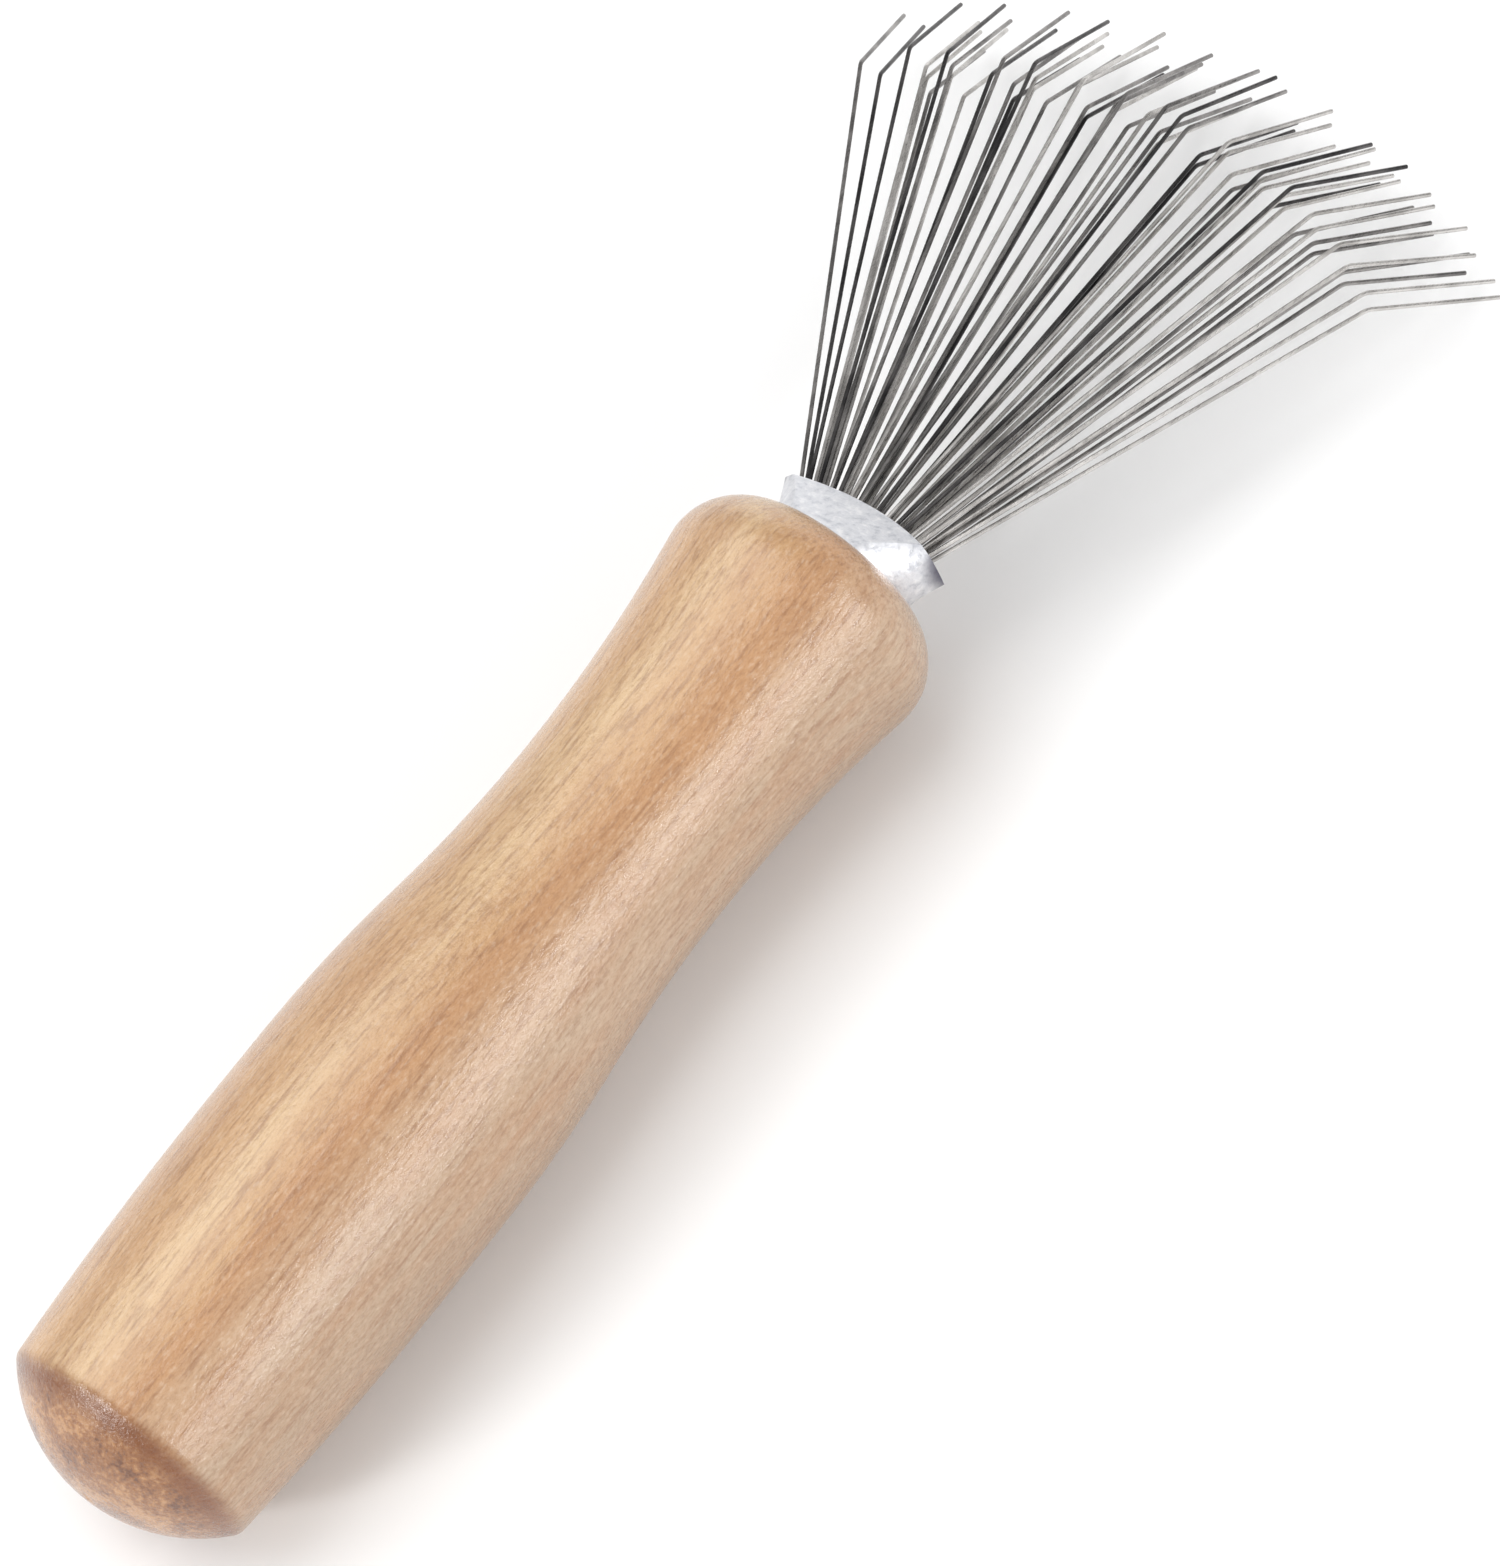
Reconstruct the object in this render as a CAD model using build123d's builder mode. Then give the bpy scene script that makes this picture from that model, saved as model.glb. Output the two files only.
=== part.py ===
from build123d import *
import math
import os
import random

# Fan-shaped wire fork: a turned wooden handle, an aluminium ferrule and a fan of sprung wires with bent tips.
# Millimetres. +X runs along the handle's axis towards the wires, +Z is up and the wire tips bend down to -Z.
# The origin is on the handle's axis at its thickest place, which is where the hand closes on it.

# Handle, from the butt to the head
butt_dome_height = 4.7
butt_radius = 9.75
butt_rounding = 1.0
butt_to_grip = 25.0
grip_radius = 10.6
grip_length = 6.0
grip_to_waist = 29.8
waist_radius = 8.87
grip_to_head = 48.6
head_radius = 10.42
face_rim = 0.6
face_slope = 8.0
drill_point_angle = 118.0

# Ferrule: a round tube whose mouth is widened and pressed flat from above and below
shank_radius = 5.6
shank_length = 14.0
ferrule_wall = 0.4
ferrule_reach = 4.3
mouth_clearance = 0.1
mouth_corner_rise = 0.1
mouth_crown = 1.9
mouth_side_bulge = 0.25
mouth_arch_radius = 20.0
crease_angle = 30.0
press_angle = 36.0

# Potting that holds the wires in the ferrule
potting_recess = 0.6
potting_behind_roots = 2.5

# Wires
wire_diameter = 0.3
wire_flats = 8
wires_in_layers = {"bottom": 13, "lower": 15, "upper": 15, "top": 13}
root_depth = 5.0
root_gap = 0.22
root_layer_gap = 0.3
fan_pitch_angle = 3.85
fan_turn = 2.7
bend_reach = 41.2
bend_layer_pitch = 1.15
bend_layer_lag = 0.4
wire_bend_radius = 1.0
tip_length = 11.2
tip_angle = 39.0

# How far a wire's bend and tip stray from their even places, because the fan is spread by hand.
# The side and height strays are shares of what is free between a wire and the next one.
stray_seed = 11
side_stray_share = 0.29
height_stray_share = 0.32
bend_reach_stray = 0.28
tip_angle_stray = 2.0
tip_length_stray = 0.3

butt_edge_x = -butt_to_grip
butt_tip_x = butt_edge_x - butt_dome_height

# The bundle of wires is counted from the middle of its layers, and the mouth is pressed to the bundle's size.
root_pitch = wire_diameter + root_gap
root_layer_pitch = wire_diameter + root_layer_gap
side_stray = side_stray_share * fan_pitch_angle
height_stray = height_stray_share * (bend_layer_pitch - wire_diameter)
outermost = (max(wires_in_layers.values()) - 1) / 2
topmost = (len(wires_in_layers) - 1) / 2
fan_half_angle = fan_turn + outermost * fan_pitch_angle + side_stray
bundle_half_width = outermost * root_pitch + root_depth * math.tan(math.radians(fan_half_angle))
bundle_half_height = topmost * (root_layer_pitch + bend_layer_pitch * root_depth / bend_reach)
wire_room = wire_diameter / 2 + mouth_clearance
mouth_half_width = bundle_half_width + wire_room + ferrule_wall
mouth_half_height = bundle_half_height + wire_room + ferrule_wall / math.cos(math.radians(press_angle))
mouth_half_side = mouth_half_height + mouth_corner_rise


def direction(degrees):
    """The unit vector at this angle from a sketch's first axis."""
    return (math.cos(math.radians(degrees)), math.sin(math.radians(degrees)))


def pressed_outline(corner_y, corner_z, crown, bulge):
    """A face inside four arcs: two wide ones that rise by the crown and two sides that bulge."""
    with BuildSketch() as outline:
        with BuildLine():
            ThreePointArc((corner_y, corner_z), (0, corner_z + crown), (-corner_y, corner_z))
            ThreePointArc((-corner_y, corner_z), (-corner_y - bulge, 0), (-corner_y, -corner_z))
            ThreePointArc((-corner_y, -corner_z), (0, -corner_z - crown), (corner_y, -corner_z))
            ThreePointArc((corner_y, -corner_z), (corner_y + bulge, 0), (corner_y, corner_z))
        make_face()
    return outline.sketch


def ferrule_form(inset, back_x):
    """The ferrule's solid form from back_x to its arched mouth, set in all round by inset."""
    radius = shank_radius - inset
    corner_y, corner_z = (radius * part for part in direction(crease_angle))
    with BuildPart() as form:
        with BuildSketch(Plane.YZ.offset(back_x)):
            Circle(radius)
        extrude(amount=face_x - back_x)
        with BuildSketch(Plane.YZ.offset(face_x)):
            add(pressed_outline(corner_y, corner_z, radius - corner_z, radius - corner_y))
        with BuildSketch(Plane.YZ.offset(mouth_x)):
            add(pressed_outline(mouth_half_width - inset, mouth_half_side - inset, mouth_crown, mouth_side_bulge))
        loft()
        for side in (1, -1):
            down_x, up_z = direction(90 - press_angle)
            facing = Vector(down_x, 0, side * up_z)
            press = Plane(Vector(mouth_x, 0, side * mouth_half_height) - facing * inset, z_dir=facing)
            split(bisect_by=press, keep=Keep.BOTTOM)
    return form.part


def mouth_trim(setback):
    """An upright cylinder whose wall is the mouth's arched end, or lies behind it by a setback."""
    with BuildPart() as trim:
        with Locations((mouth_x - mouth_arch_radius, 0, 0)):
            Cylinder(mouth_arch_radius - setback, 4 * shank_radius)
    return trim.part


# The handle is turned from one piece of wood and has a drilled socket for the ferrule.
with BuildPart() as handle:
    with BuildSketch(Plane.XZ) as outline:
        with BuildLine():
            dome_radius = (butt_radius**2 + butt_dome_height**2) / (2 * butt_dome_height)
            dome = RadiusArc((butt_tip_x, 0), (butt_edge_x, butt_radius), dome_radius)
            TangentArc((-grip_length / 2, grip_radius), dome @ 1, tangent=(-1, 0))
            grip_land = Line((-grip_length / 2, grip_radius), (grip_length / 2, grip_radius))
            ogee_middle = ((grip_length / 2 + grip_to_waist) / 2, (grip_radius + waist_radius) / 2)
            ogee_top = TangentArc(grip_land @ 1, ogee_middle, tangent=(1, 0))
            ogee_foot = TangentArc(ogee_middle, (grip_to_waist, waist_radius), tangent=ogee_top % 1)
            flare = TangentArc(ogee_foot @ 1, (grip_to_head, head_radius), tangent=(1, 0))
            flare_slope = math.degrees(math.atan2((flare % 1).Y, (flare % 1).X))
            shoulder_drop = head_radius - shank_radius - face_rim
            drop_per_radius = math.cos(math.radians(flare_slope)) - math.sin(math.radians(face_slope))
            shoulder_radius = shoulder_drop / drop_per_radius
            shoulder = JernArc(flare @ 1, flare % 1, shoulder_radius, face_slope - 90 - flare_slope)
            face_x = (shoulder @ 1).X + face_rim * math.tan(math.radians(face_slope))
            Polyline(shoulder @ 1, (face_x, shank_radius), (face_x, 0), (butt_tip_x, 0))
        make_face()
    revolve(axis=Axis.X)
    butt_edge = handle.edges().filter_by(GeomType.CIRCLE).sort_by(lambda e: abs(e.center().X - butt_edge_x))[0]
    fillet(butt_edge, butt_rounding)
    with BuildSketch(Plane.XZ):
        point_x = face_x - shank_length - shank_radius / math.tan(math.radians(drill_point_angle / 2))
        with BuildLine():
            Polyline(
                (point_x, 0),
                (face_x - shank_length, shank_radius),
                (face_x, shank_radius),
                (face_x, 0),
                close=True,
            )
        make_face()
    revolve(axis=Axis.X, mode=Mode.SUBTRACT)

mouth_x = face_x + ferrule_reach
socket_x = face_x - shank_length

# The ferrule is a tube pushed to the shoulder of the socket, and its mouth stands out of the handle.
with BuildPart() as ferrule:
    add(ferrule_form(0, socket_x))
    add(ferrule_form(ferrule_wall, socket_x), mode=Mode.SUBTRACT)
    add(mouth_trim(0), mode=Mode.INTERSECT)

# Each wire is straight from its root to its bend, and the roots converge inside the ferrule.
root_x = mouth_x - root_depth
apex_x = root_x - root_pitch / math.tan(math.radians(fan_pitch_angle))
stray = random.Random(stray_seed)


def wire_points(count, place, layer):
    """The root, the bend and the tip of one wire, counted from the middle of its layer and of the layers."""
    across = place - (count - 1) / 2
    height = layer - topmost
    angle = fan_turn + across * fan_pitch_angle + stray.uniform(-side_stray, side_stray)
    reach = root_x - apex_x + bend_reach + height * bend_layer_lag
    reach += stray.uniform(-bend_reach_stray, bend_reach_stray)
    droop = tip_angle + stray.uniform(-tip_angle_stray, tip_angle_stray)
    length = tip_length + stray.uniform(-tip_length_stray, tip_length_stray)
    rise = height * bend_layer_pitch + stray.uniform(-height_stray, height_stray)
    along, down = direction(droop)
    out_x, out_y = direction(angle)
    root = Vector(root_x, across * root_pitch, height * root_layer_pitch)
    bend = Vector(apex_x + reach * out_x, reach * out_y, rise)
    tip = bend + Vector(out_x * along, out_y * along, -down) * length
    return root, bend, tip


wires = []
for layer, (layer_name, count) in enumerate(wires_in_layers.items()):
    for place in range(count):
        with BuildPart() as wire:
            with BuildLine() as path:
                FilletPolyline(*wire_points(count, place, layer), radius=wire_bend_radius)
            with BuildSketch(Plane(path.line @ 0, z_dir=path.line % 0)):
                RegularPolygon(wire_diameter / 2, wire_flats, major_radius=False)
            sweep()
        wire.part.label = f"{layer_name}_wire_{place + 1:02d}"
        wires.append(wire.part)

# The potting is cast round the wires' roots and lies a little behind the ferrule's rim.
with BuildPart() as potting:
    add(ferrule_form(ferrule_wall, root_x - potting_behind_roots))
    add(mouth_trim(potting_recess), mode=Mode.INTERSECT)
    for piece in wires:
        add(piece, mode=Mode.SUBTRACT)

handle.part.label = "handle"
ferrule.part.label = "ferrule"
potting.part.label = "potting"

os.makedirs("parts", exist_ok=True)
for piece in [handle.part, ferrule.part, potting.part, *wires]:
    export_step(piece, f"parts/{piece.label}.step")
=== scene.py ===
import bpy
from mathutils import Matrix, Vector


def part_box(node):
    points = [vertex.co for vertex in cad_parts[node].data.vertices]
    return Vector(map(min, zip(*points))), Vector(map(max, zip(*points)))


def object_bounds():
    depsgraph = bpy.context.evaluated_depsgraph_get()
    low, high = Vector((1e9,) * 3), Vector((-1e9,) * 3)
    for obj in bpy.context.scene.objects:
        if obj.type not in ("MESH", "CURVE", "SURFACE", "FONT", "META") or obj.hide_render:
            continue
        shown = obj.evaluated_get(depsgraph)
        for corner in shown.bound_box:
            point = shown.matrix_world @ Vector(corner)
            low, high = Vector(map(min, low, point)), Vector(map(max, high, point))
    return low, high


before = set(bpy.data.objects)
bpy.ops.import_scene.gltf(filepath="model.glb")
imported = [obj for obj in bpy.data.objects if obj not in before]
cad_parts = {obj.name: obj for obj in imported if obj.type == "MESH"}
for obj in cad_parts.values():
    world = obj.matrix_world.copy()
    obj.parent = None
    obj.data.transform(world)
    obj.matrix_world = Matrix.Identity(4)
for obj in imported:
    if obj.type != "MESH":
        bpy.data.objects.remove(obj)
cad_box = [list(corner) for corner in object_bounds()]

import math
import random
import bmesh
import bpy
from mathutils import Matrix, Vector

# The handle is turned from one length of pale beech or birch, sanded, and dipped in clear lacquer. The grain
# runs from butt to head. The butt's dome shows end grain, which drinks more lacquer and is browner.
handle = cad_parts["handle"]
dome_length = 0.0047
butt_edge_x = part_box("handle")[0][0] + dome_length
grip_radius = 0.0106
# This turn lines the figure's bands up across the camera's view, so the bands carry painted sheen and shade as
# well.
figure_and_sheen_turn = math.radians(-31.7)


def rgb(red, green, blue):
    """A colour's linear values from its 0 to 255 screen values."""
    shares = [value / 255 for value in (red, green, blue)]
    return tuple(s / 12.92 if s < 0.04045 else ((s + 0.055) / 1.055) ** 2.4 for s in shares) + (1.0,)


def add_node(material, kind, inputs=None, **settings):
    """A new node with its settings, and its inputs' values or the sockets that feed them."""
    node = material.node_tree.nodes.new(kind)
    for name, value in settings.items():
        setattr(node, name, value)
    for name, value in (inputs or {}).items():
        if isinstance(value, bpy.types.NodeSocket):
            material.node_tree.links.new(value, node.inputs[name])
        else:
            node.inputs[name].default_value = value
    return node


def new_material(name):
    """A material with an empty shader, and the shader itself."""
    material = bpy.data.materials.new(name)
    material.use_nodes = True
    return material, material.node_tree.nodes["Principled BSDF"]


def placed(material, scale=(1, 1, 1), turn=(0, 0, 0), shift=(0, 0, 0)):
    """Object coordinates, scaled, turned and shifted."""
    where = add_node(material, "ShaderNodeTexCoord").outputs["Object"]
    inputs = {"Vector": where, "Scale": scale, "Rotation": turn, "Location": shift}
    return add_node(material, "ShaderNodeMapping", inputs).outputs["Vector"]


def noise(material, vector, scale, detail, roughness=0.5):
    """Fractal noise from 0 to 1, with its scale in repeats per metre."""
    inputs = {"Vector": vector, "Scale": scale, "Detail": detail, "Roughness": roughness}
    return add_node(material, "ShaderNodeTexNoise", inputs).outputs["Fac"]


def math_node(material, operation, first, second=0.0, third=0.0):
    """The result of one sum on values or sockets."""
    return add_node(material, "ShaderNodeMath", {0: first, 1: second, 2: third}, operation=operation).outputs[0]


def fade(material, value, start, end, low=0.0, high=1.0):
    """Goes smoothly from low to high while the value goes from start to end."""
    inputs = {"Value": value, "From Min": start, "From Max": end, "To Min": low, "To Max": high}
    return add_node(material, "ShaderNodeMapRange", inputs, interpolation_type="SMOOTHSTEP").outputs["Result"]


def ramp(material, factor, stops):
    """Colours blended along a factor."""
    node = add_node(material, "ShaderNodeValToRGB", {"Fac": factor})
    node.color_ramp.interpolation = "EASE"
    elements = node.color_ramp.elements
    while len(elements) < len(stops):
        elements.new(0.5)
    for element, (position, colour) in zip(elements, stops):
        element.position = position
        element.color = colour
    return node.outputs["Color"]


def mix(material, share, first, second):
    """The first colour with this share of the second laid over it."""
    inputs = {0: share, 6: first, 7: second}
    return add_node(material, "ShaderNodeMix", inputs, data_type="RGBA").outputs[2]


def dress(node, material):
    """Gives a node this one material."""
    node.data.materials.clear()
    node.data.materials.append(material)


def bumps(material, heights):
    """Bump nodes in a row, each with a height socket and its real depth in metres."""
    normal = None
    for height, depth in heights:
        inputs = {"Height": height, "Distance": depth, "Strength": 1.0}
        if normal:
            inputs["Normal"] = normal
        normal = add_node(material, "ShaderNodeBump", inputs).outputs["Normal"]
    return normal


def lacquered_wood():
    wood, shader = new_material("lacquered_wood")
    facing = placed(wood, turn=(figure_and_sheen_turn, 0, 0))
    axes = add_node(wood, "ShaderNodeSeparateXYZ", {"Vector": facing}).outputs
    across, along = axes["Y"], axes["X"]

    # Broad bands of the figure, which wander a little along the handle. The bands are turned to lie across the
    # handle as the camera sees it, and their colours are partly the wood's figure and partly painted light: the
    # pinkish-grey low stops are a painted sheen down one side, and the darker stops at both ends are painted
    # shade towards the two edges.
    wander_width = 0.007
    first_band = 0.335
    wander = noise(wood, placed(wood, scale=(0.35, 1, 1)), 70.0, 2.0)
    wandering = math_node(wood, "MULTIPLY_ADD", wander, wander_width, across)
    share = math_node(wood, "MULTIPLY_ADD", wandering, 1 / (2 * grip_radius), first_band)
    figure_and_painted_sheen = ramp(wood, share, [
        (0.02, rgb(164, 136, 109)),
        (0.25, rgb(183, 156, 129)),
        (0.42, rgb(191, 157, 125)),
        (0.55, rgb(188, 143, 102)),
        (0.66, rgb(196, 156, 111)),
        (0.77, rgb(210, 177, 135)),
        (0.88, rgb(205, 165, 122)),
        (0.99, rgb(196, 153, 110)),
    ])

    # Narrow streaks and pores that run with the grain.
    streaks = noise(wood, placed(wood, scale=(0.05, 1, 1)), 900.0, 5.0, 0.6)
    fine_streaks = noise(wood, placed(wood, scale=(0.09, 1, 1)), 3200.0, 3.0, 0.6)
    speckle = noise(wood, placed(wood, scale=(0.45, 1, 1)), 3600.0, 3.0, 0.65)
    patches = noise(wood, placed(wood, scale=(0.3, 1, 1)), 240.0, 3.0, 0.6)
    colour = mix(wood, fade(wood, patches, 0.45, 0.75, 0.0, 0.45), figure_and_painted_sheen, rgb(175, 130, 90))
    colour = mix(wood, fade(wood, streaks, 0.4, 0.75, 0.0, 0.5), colour, rgb(168, 121, 83))
    colour = mix(wood, fade(wood, fine_streaks, 0.47, 0.7, 0.0, 0.5), colour, rgb(138, 94, 62))
    colour = mix(wood, fade(wood, speckle, 0.48, 0.3, 0.0, 0.3), colour, rgb(138, 98, 70))
    colour = mix(wood, fade(wood, speckle, 0.52, 0.7, 0.0, 0.25), colour, rgb(226, 204, 180))

    # End grain on the dome of the butt: browner, mottled, and darkest in a ring just inside its edge.
    edge_stray = 0.0008
    edge_softness = 0.0006
    ring_inset = 0.0004
    ring_reach = 0.0014
    mottle = noise(wood, placed(wood), 330.0, 5.0, 0.62)
    pores = noise(wood, placed(wood), 2600.0, 3.0, 0.6)
    end_tone = math_node(wood, "MULTIPLY_ADD", pores, 0.45, math_node(wood, "MULTIPLY", mottle, 0.75))
    end_colour = ramp(wood, end_tone, [
        (0.45, rgb(104, 60, 28)),
        (0.57, rgb(144, 94, 52)),
        (0.70, rgb(182, 134, 88)),
    ])
    ragged = math_node(wood, "MULTIPLY_ADD", mottle, edge_stray, along)
    end_share = fade(wood, ragged, butt_edge_x + edge_softness, butt_edge_x - edge_softness)
    colour = mix(wood, end_share, colour, end_colour)
    from_ring = math_node(wood, "SUBTRACT", ragged, butt_edge_x - ring_inset)
    ring_distance = math_node(wood, "ABSOLUTE", from_ring)
    colour = mix(wood, fade(wood, ring_distance, ring_reach, 0.0, 0.0, 0.85), colour, rgb(118, 66, 26))

    # The lacquer lies over the wood as a coat with its own, coarser ripple.
    wood.node_tree.links.new(colour, shader.inputs["Base Color"])
    gloss = fade(wood, speckle, 0.3, 0.7, 0.2, 0.4)
    wood.node_tree.links.new(gloss, shader.inputs["Roughness"])
    shader.inputs["Coat Weight"].default_value = 0.7
    shader.inputs["Coat Roughness"].default_value = 0.18
    ripple = noise(wood, placed(wood, scale=(0.5, 1, 1)), 2400.0, 4.0, 0.65)
    normal = bumps(wood, [(ripple, 0.00007), (fine_streaks, 0.00004)])
    wood.node_tree.links.new(normal, shader.inputs["Normal"])
    lacquer_normal = bumps(wood, [(ripple, 0.00009)])
    wood.node_tree.links.new(lacquer_normal, shader.inputs["Coat Normal"])
    return wood


dress(handle, lacquered_wood())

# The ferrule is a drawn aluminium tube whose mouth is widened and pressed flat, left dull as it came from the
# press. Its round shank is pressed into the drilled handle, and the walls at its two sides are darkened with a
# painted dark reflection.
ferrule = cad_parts["ferrule"]
side_shade_start, side_shade_full = 0.0063, 0.0070


def pressed_aluminium():
    metal, shader = new_material("pressed_aluminium")
    mottle = noise(metal, placed(metal), 1500.0, 4.0, 0.65)
    scuffs = noise(metal, placed(metal, scale=(1, 0.25, 1)), 2600.0, 3.0, 0.6)
    colour = ramp(metal, mottle, [
        (0.3, rgb(206, 208, 214)),
        (0.5, rgb(230, 231, 235)),
        (0.7, rgb(246, 246, 248)),
    ])
    across = add_node(metal, "ShaderNodeSeparateXYZ", {"Vector": placed(metal)}).outputs["Y"]
    to_side = math_node(metal, "ABSOLUTE", across)
    # The walls at the two sides fade to a dark colour, a painted dark reflection.
    painted_side_shade_share = fade(metal, to_side, side_shade_start, side_shade_full, 0.0, 0.95)
    colour = mix(metal, painted_side_shade_share, colour, rgb(92, 90, 106))
    metal.node_tree.links.new(colour, shader.inputs["Base Color"])
    metal.node_tree.links.new(fade(metal, scuffs, 0.3, 0.7, 0.4, 0.6), shader.inputs["Roughness"])
    shader.inputs["Metallic"].default_value = 1.0
    normal = bumps(metal, [(mottle, 0.00005), (scuffs, 0.00002)])
    metal.node_tree.links.new(normal, shader.inputs["Normal"])
    return metal


dress(ferrule, pressed_aluminium())

# The potting is a grey casting resin, poured round the roots of the wires inside the ferrule's mouth. Once
# hard it holds every wire where it is.
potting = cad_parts["potting"]


def casting_resin():
    resin, shader = new_material("casting_resin")
    grit = noise(resin, placed(resin), 2500.0, 4.0, 0.6)
    colour = ramp(resin, grit, [(0.35, rgb(120, 120, 118)), (0.65, rgb(176, 175, 170))])
    resin.node_tree.links.new(colour, shader.inputs["Base Color"])
    resin.node_tree.links.new(fade(resin, grit, 0.3, 0.7, 0.5, 0.75), shader.inputs["Roughness"])
    resin.node_tree.links.new(bumps(resin, [(grit, 0.00008)]), shader.inputs["Normal"])
    return resin


dress(potting, casting_resin())

# The wires are cut from drawn spring steel, bent near the tip, and fanned out by hand before they are cast in.
# Each takes one of three steel tones, which are painted reflections: bright, middle and dark.
wire_reflection_tones = {
    "steel_painted_bright": (rgb(172, 169, 166), rgb(212, 209, 206)),
    "steel_painted_mid": (rgb(112, 110, 109), rgb(160, 157, 155)),
    "steel_painted_dark": (rgb(58, 57, 58), rgb(98, 96, 96)),
}


def spring_steel(name, duller, brighter):
    steel, shader = new_material(name)
    draw_marks = noise(steel, placed(steel, scale=(0.1, 1, 1)), 5000.0, 3.0, 0.6)
    shade = noise(steel, placed(steel, scale=(0.5, 1, 1)), 420.0, 3.0, 0.6)
    colour = ramp(steel, shade, [(0.35, duller), (0.65, brighter)])
    steel.node_tree.links.new(colour, shader.inputs["Base Color"])
    steel.node_tree.links.new(fade(steel, draw_marks, 0.3, 0.7, 0.2, 0.38), shader.inputs["Roughness"])
    shader.inputs["Metallic"].default_value = 1.0
    steel.node_tree.links.new(bumps(steel, [(draw_marks, 0.00001)]), shader.inputs["Normal"])
    return steel


wire_reflection_finishes = [spring_steel(name, *tones) for name, tones in wire_reflection_tones.items()]
tone_shares = (5, 4, 2)
tone_seed = 5
picker = random.Random(tone_seed)
# Each wire gets one of the three painted reflection tones, picked with a fixed seed.
for name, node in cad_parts.items():
    if "_wire_" in name:
        dress(node, picker.choices(wire_reflection_finishes, weights=tone_shares)[0])

# The stage is a plain matt white floor, wide enough to fill the picture, that the handle lies on. It belongs
# to the scene and not to the object.
floor_z = cad_box[0][2]
floor_half_width = 4.0
floor_mesh = bpy.data.meshes.new("floor")
sheet = bmesh.new()
floor_place = Matrix.Translation((0, 0, floor_z))
bmesh.ops.create_grid(sheet, x_segments=1, y_segments=1, size=floor_half_width, matrix=floor_place)
sheet.to_mesh(floor_mesh)
sheet.free()
floor = bpy.data.objects.new("floor", floor_mesh)
bpy.context.collection.objects.link(floor)
floor_paint, floor_shader = new_material("floor_paint")
floor_shader.inputs["Base Color"].default_value = (0.93, 0.93, 0.93, 1)
floor_shader.inputs["Roughness"].default_value = 0.9
floor_mesh.materials.append(floor_paint)

# The light comes from a dim white room and four boxes: a large one overhead, a low strip that draws the gloss
# along the handle, a weak one in front that fills the ferrule's mouth, and a small one for the butt's edge.
aim_point = Vector((0.038, -0.004, -0.003))
room = bpy.data.worlds.new("room")
room.use_nodes = True
background = room.node_tree.nodes["Background"]
background.inputs["Color"].default_value = (1, 1, 1, 1)
background.inputs["Strength"].default_value = 0.54
bpy.context.scene.world = room


def light_box(name, direction, distance, width, height, power):
    """A soft box that faces the object from this direction, in metres and watts."""
    data = bpy.data.lights.new(name, "AREA")
    data.shape = "RECTANGLE"
    data.size, data.size_y = width, height
    data.energy = power
    box = bpy.data.objects.new(name, data)
    bpy.context.collection.objects.link(box)
    away = Vector(direction).normalized()
    box.location = aim_point + away * distance
    box.rotation_euler = away.to_track_quat("Z", "Y").to_euler()


light_box("overhead_box", (-0.1, 0.35, 1.0), 1.0, 1.0, 1.0, 6.0)
light_box("low_strip", (0.245, -0.899, 0.363), 0.9, 0.9, 0.06, 4.4)
light_box("front_box", (0.86, 0.51, 0.12), 0.7, 0.5, 0.35, 0.45)
light_box("butt_box", (-0.886, 0.226, 0.404), 0.6, 0.12, 0.12, 1.1)

# The camera looks down along the handle from behind the butt, rolled so that the fan points up and to the
# right, with a long lens.
camera_distance = 0.62577
camera_azimuth = math.radians(-115.656)
camera_elevation = math.radians(55.603)
camera_roll = math.radians(-29.611)
camera_target = Vector((0.03828, -0.00386, -0.00289))
lens_mm = 206.9
outward = Vector((
    math.cos(camera_elevation) * math.cos(camera_azimuth),
    math.cos(camera_elevation) * math.sin(camera_azimuth),
    math.sin(camera_elevation),
))
level_right = Vector((0, 0, 1)).cross(outward).normalized()
level_up = outward.cross(level_right)
right = level_right * math.cos(camera_roll) + level_up * math.sin(camera_roll)
up = outward.cross(right)
camera_data = bpy.data.cameras.new("camera")
camera_data.lens = lens_mm
camera_data.clip_start = 0.01
camera = bpy.data.objects.new("camera", camera_data)
bpy.context.collection.objects.link(camera)
facing_object = Matrix((right, up, outward)).transposed().to_4x4()
camera.matrix_world = Matrix.Translation(camera_target + outward * camera_distance) @ facing_object
bpy.context.scene.camera = camera
bpy.context.scene.view_settings.view_transform = "Standard"
